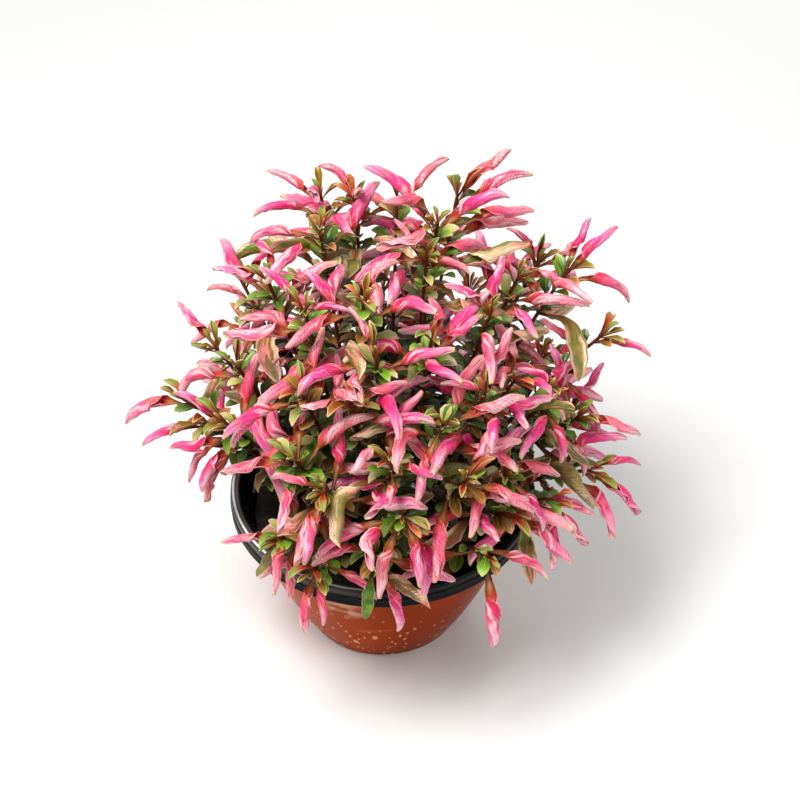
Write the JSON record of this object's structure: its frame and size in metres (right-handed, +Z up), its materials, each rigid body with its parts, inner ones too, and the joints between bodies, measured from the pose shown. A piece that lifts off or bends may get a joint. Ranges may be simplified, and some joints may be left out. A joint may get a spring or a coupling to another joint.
{
  "type": "potted joyweed plant",
  "caption": "Bushy potted foliage plant with curled pink leaves on dark stems, growing in soil in a round two-colour plastic pot with drain holes.",
  "frame": {"origin": "middle of the pot's flat bottom", "axes": "+Z up along the pot's axis, -Y towards the front of the plant, +X to its right"},
  "size_m": [0.2527, 0.2296, 0.243],
  "materials": {
    "terracotta_plastic": "glossy, wet, splashed with pale soil marks low down",
    "black_plastic": "glossy black with a bright lip",
    "soil": "dark damp potting soil",
    "leaf": "satin leaf, rolled magenta to pale pink with a bronze-olive base"
  },
  "bodies": {
    "root": {"liner_pot": "black_plastic", "outer_pot": "terracotta_plastic", "shoot_01": "leaf", "shoot_02": "leaf", "shoot_03": "leaf", "shoot_04": "leaf", "shoot_05": "leaf", "shoot_06": "leaf", "shoot_07": "leaf", "shoot_08": "leaf", "shoot_09": "leaf", "shoot_10": "leaf", "shoot_11": "leaf", "shoot_12": "leaf", "shoot_13": "leaf", "shoot_14": "leaf", "shoot_15": "leaf", "shoot_16": "leaf", "shoot_17": "leaf", "shoot_18": "leaf", "shoot_19": "leaf", "shoot_20": "leaf", "shoot_21": "leaf", "shoot_22": "leaf", "shoot_23": "leaf", "shoot_24": "leaf", "shoot_25": "leaf", "shoot_26": "leaf", "shoot_27": "leaf", "shoot_28": "leaf", "shoot_29": "leaf", "shoot_30": "leaf", "shoot_31": "leaf", "shoot_32": "leaf", "shoot_33": "leaf", "shoot_34": "leaf", "shoot_35": "leaf", "shoot_36": "leaf", "shoot_37": "leaf", "shoot_38": "leaf", "shoot_39": "leaf", "shoot_40": "leaf", "shoot_41": "leaf", "shoot_42": "leaf", "shoot_43": "leaf", "shoot_44": "leaf", "shoot_45": "leaf", "shoot_46": "leaf", "shoot_47": "leaf", "shoot_48": "leaf", "shoot_49": "leaf", "shoot_50": "leaf", "shoot_51": "leaf", "shoot_52": "leaf", "shoot_53": "leaf", "shoot_54": "leaf", "soil": "soil"}
  },
  "joints": []
}
